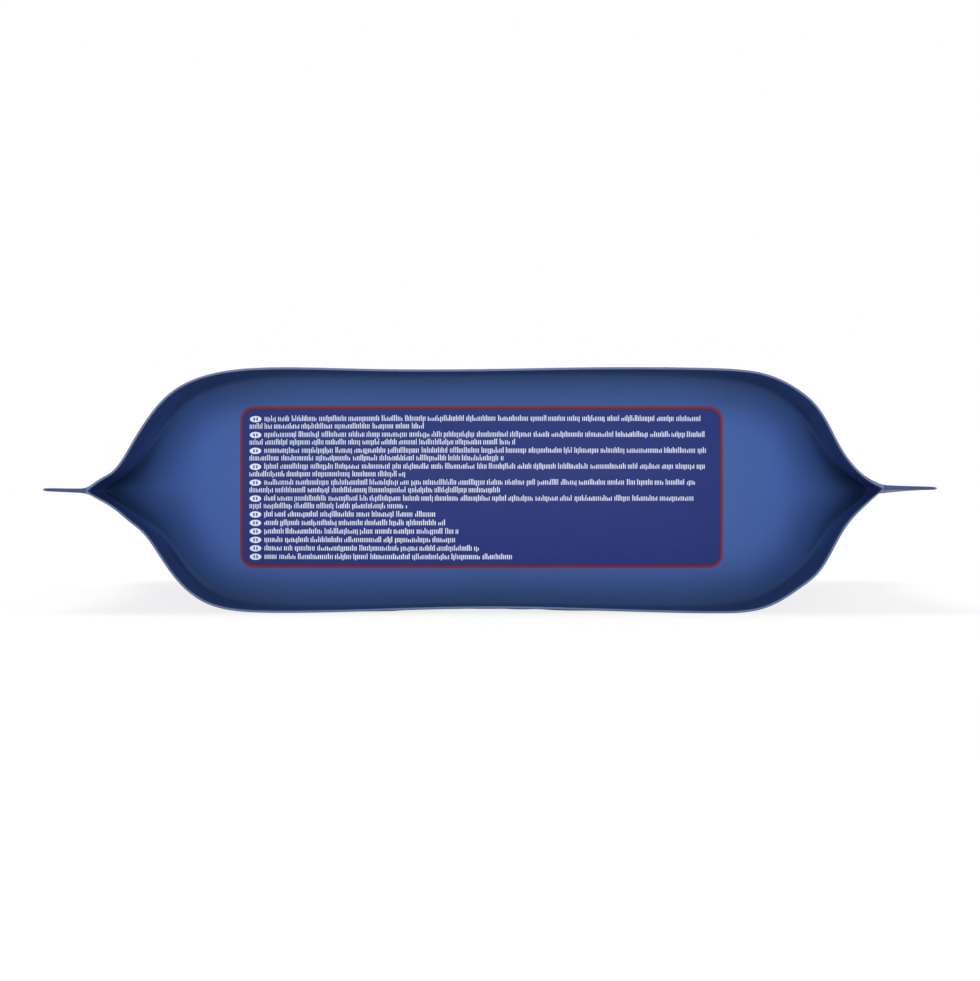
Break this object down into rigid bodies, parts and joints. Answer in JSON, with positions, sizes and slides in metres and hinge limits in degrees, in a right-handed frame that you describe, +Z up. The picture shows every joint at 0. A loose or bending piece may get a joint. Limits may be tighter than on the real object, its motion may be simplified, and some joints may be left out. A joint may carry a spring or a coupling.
{
  "type": "dishwasher tablet pouch",
  "caption": "Filled stand-up film pouch lying on its back, with flared side seals, a recessed base gusset and a zip header.",
  "frame": {"origin": "on the floor plane, under the middle of the pouch's overall box", "axes": "+Z up from the back panel to the front panel, +Y along the pouch from the base rim to the top seal, +X across from the left side seal to the right one as seen from the base"},
  "size_m": [0.28, 0.29, 0.0712],
  "materials": {
    "film": "glossy printed laminate film, deep blue, paler at its cut edges"
  },
  "bodies": {
    "root": {"pouch": "film"}
  },
  "joints": []
}
